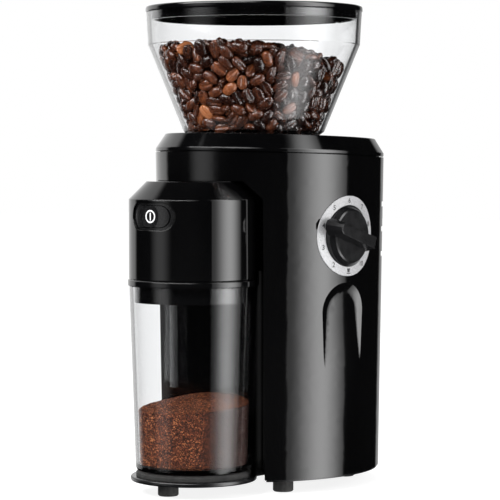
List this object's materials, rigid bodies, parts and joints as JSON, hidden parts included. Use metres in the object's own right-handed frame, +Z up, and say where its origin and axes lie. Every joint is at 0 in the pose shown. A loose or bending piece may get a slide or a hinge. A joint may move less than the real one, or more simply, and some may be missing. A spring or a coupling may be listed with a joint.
{
  "type": "burr coffee grinder",
  "caption": "Upright conical burr coffee grinder with a clear bean hopper, a side selector knob, a front power button and a removable clear grounds container.",
  "frame": {"origin": "bottom centre of the grinder's box, on the surface the feet stand on", "axes": "+Z up, -Y to the front with the grounds container, +X to the side with the selector knob"},
  "size_m": [0.1332, 0.1764, 0.275],
  "materials": {
    "gloss_black": "high gloss moulded",
    "satin_black": "satin moulded",
    "matte_black": "fine matt texture",
    "clear_plastic": "clear polished",
    "dial_metal": "satin silver with black numerals",
    "rubber": "matt",
    "steel": "turned",
    "burr_steel": "ground",
    "zinc": "zinc plated",
    "bronze": "sintered",
    "ferrite": "pressed and ground",
    "white_nylon": "moulded",
    "circuit_board": "solder mask"
  },
  "bodies": {
    "housing": {"body_shell": "gloss_black", "top_cover": "gloss_black", "front_housing": "gloss_black", "front_housing_floor": "matte_black", "button_bezel": "satin_black", "base_cover": "satin_black", "container_pad": "rubber", "cord_grommet": "rubber", "base_screws": "steel", "power_switch": "matte_black", "button_spring": "steel", "dial_ring": "dial_metal", "selector_switch": "zinc", "control_board": "circuit_board", "board_components": "matte_black", "grinding_chamber": "matte_black", "chamber_screws": "steel", "grounds_chute": "matte_black", "burr_bearing": "steel", "gearbox_lower": "matte_black", "gearbox_plate": "matte_black", "gearbox_upper": "matte_black", "gearbox_screws": "steel", "shaft_bushes": "bronze", "motor_can": "zinc", "motor_magnets": "ferrite", "motor_end_cap": "matte_black", "motor_brushes": "bronze", "motor_cradle": "matte_black", "hopper_switch": "matte_black", "container_switch": "matte_black", "foot_front": "rubber", "foot_middle_left": "rubber", "foot_middle_right": "rubber", "foot_rear_left": "rubber", "foot_rear_right": "rubber"},
    "power_button": {"power_button": "satin_black"},
    "selector_knob": {"knob": "satin_black", "knob_shaft": "steel"},
    "grounds_container": {"container": "clear_plastic", "container_lid": "gloss_black"},
    "setting_ring": {"adjust_ring": "matte_black"},
    "bean_hopper": {"hopper": "clear_plastic"},
    "hopper_cover": {"hopper_lid": "gloss_black"},
    "upper_burr_holder": {"burr_carrier": "matte_black", "upper_burr": "burr_steel"},
    "burr_spindle": {"lower_burr": "burr_steel", "sweeper": "white_nylon", "burr_shaft": "steel", "burr_bolt": "steel", "output_gear": "white_nylon"},
    "intermediate_shaft": {"intermediate_gear": "white_nylon", "intermediate_axle": "steel"},
    "motor_armature": {"motor_rotor": "steel", "commutator": "bronze", "motor_shaft": "steel", "motor_fan": "matte_black", "motor_pinion": "bronze"}
  },
  "joints": [
    {"name": "power_button_press", "type": "slide", "parent": "housing", "child": "power_button", "axis": [0, 1, 0], "range_m": [0, 0.0015], "stiffness_N_per_m": 700, "springref_m": -0.0006},
    {"name": "selector_turn", "type": "hinge", "parent": "housing", "child": "selector_knob", "pos_m": [0.057, 0.01145, 0.144], "axis": [-1, 0, 0], "range_deg": [-108, 216]},
    {"name": "container_slide", "type": "slide", "parent": "housing", "child": "grounds_container", "axis": [0, -1, 0], "range_m": [0, 0.11]},
    {"name": "grind_setting", "type": "hinge", "parent": "housing", "child": "setting_ring", "pos_m": [-0.004, 0.00105, 0.194], "axis": [0, 0, 1], "range_deg": [-75, 75]},
    {"name": "hopper_lift", "type": "slide", "parent": "setting_ring", "child": "bean_hopper", "axis": [0, 0, 1], "range_m": [0, 0.06]},
    {"name": "hopper_lid_lift", "type": "slide", "parent": "bean_hopper", "child": "hopper_cover", "axis": [0, 0, 1], "range_m": [0, 0.04]},
    {"name": "upper_burr_travel", "type": "slide", "parent": "housing", "child": "upper_burr_holder", "axis": [0, 0, 1], "range_m": [-0.00075, 0.00075]},
    {"name": "motor_spin", "type": "hinge", "parent": "housing", "child": "motor_armature", "pos_m": [-0.004, 0.05305, 0.09], "axis": [0, 0, 1], "continuous": true},
    {"name": "intermediate_spin", "type": "hinge", "parent": "housing", "child": "intermediate_shaft", "pos_m": [-0.004, 0.02505, 0.14], "axis": [0, 0, 1], "continuous": true},
    {"name": "burr_spin", "type": "hinge", "parent": "housing", "child": "burr_spindle", "pos_m": [-0.004, 0.00105, 0.17], "axis": [0, 0, 1], "continuous": true}
  ],
  "couplings": [
    {"joint": "upper_burr_travel", "follows": "grind_setting", "m_per_rad": 0.00057296},
    {"joint": "intermediate_spin", "follows": "motor_spin", "ratio": -0.25},
    {"joint": "burr_spin", "follows": "motor_spin", "ratio": 0.10294}
  ]
}
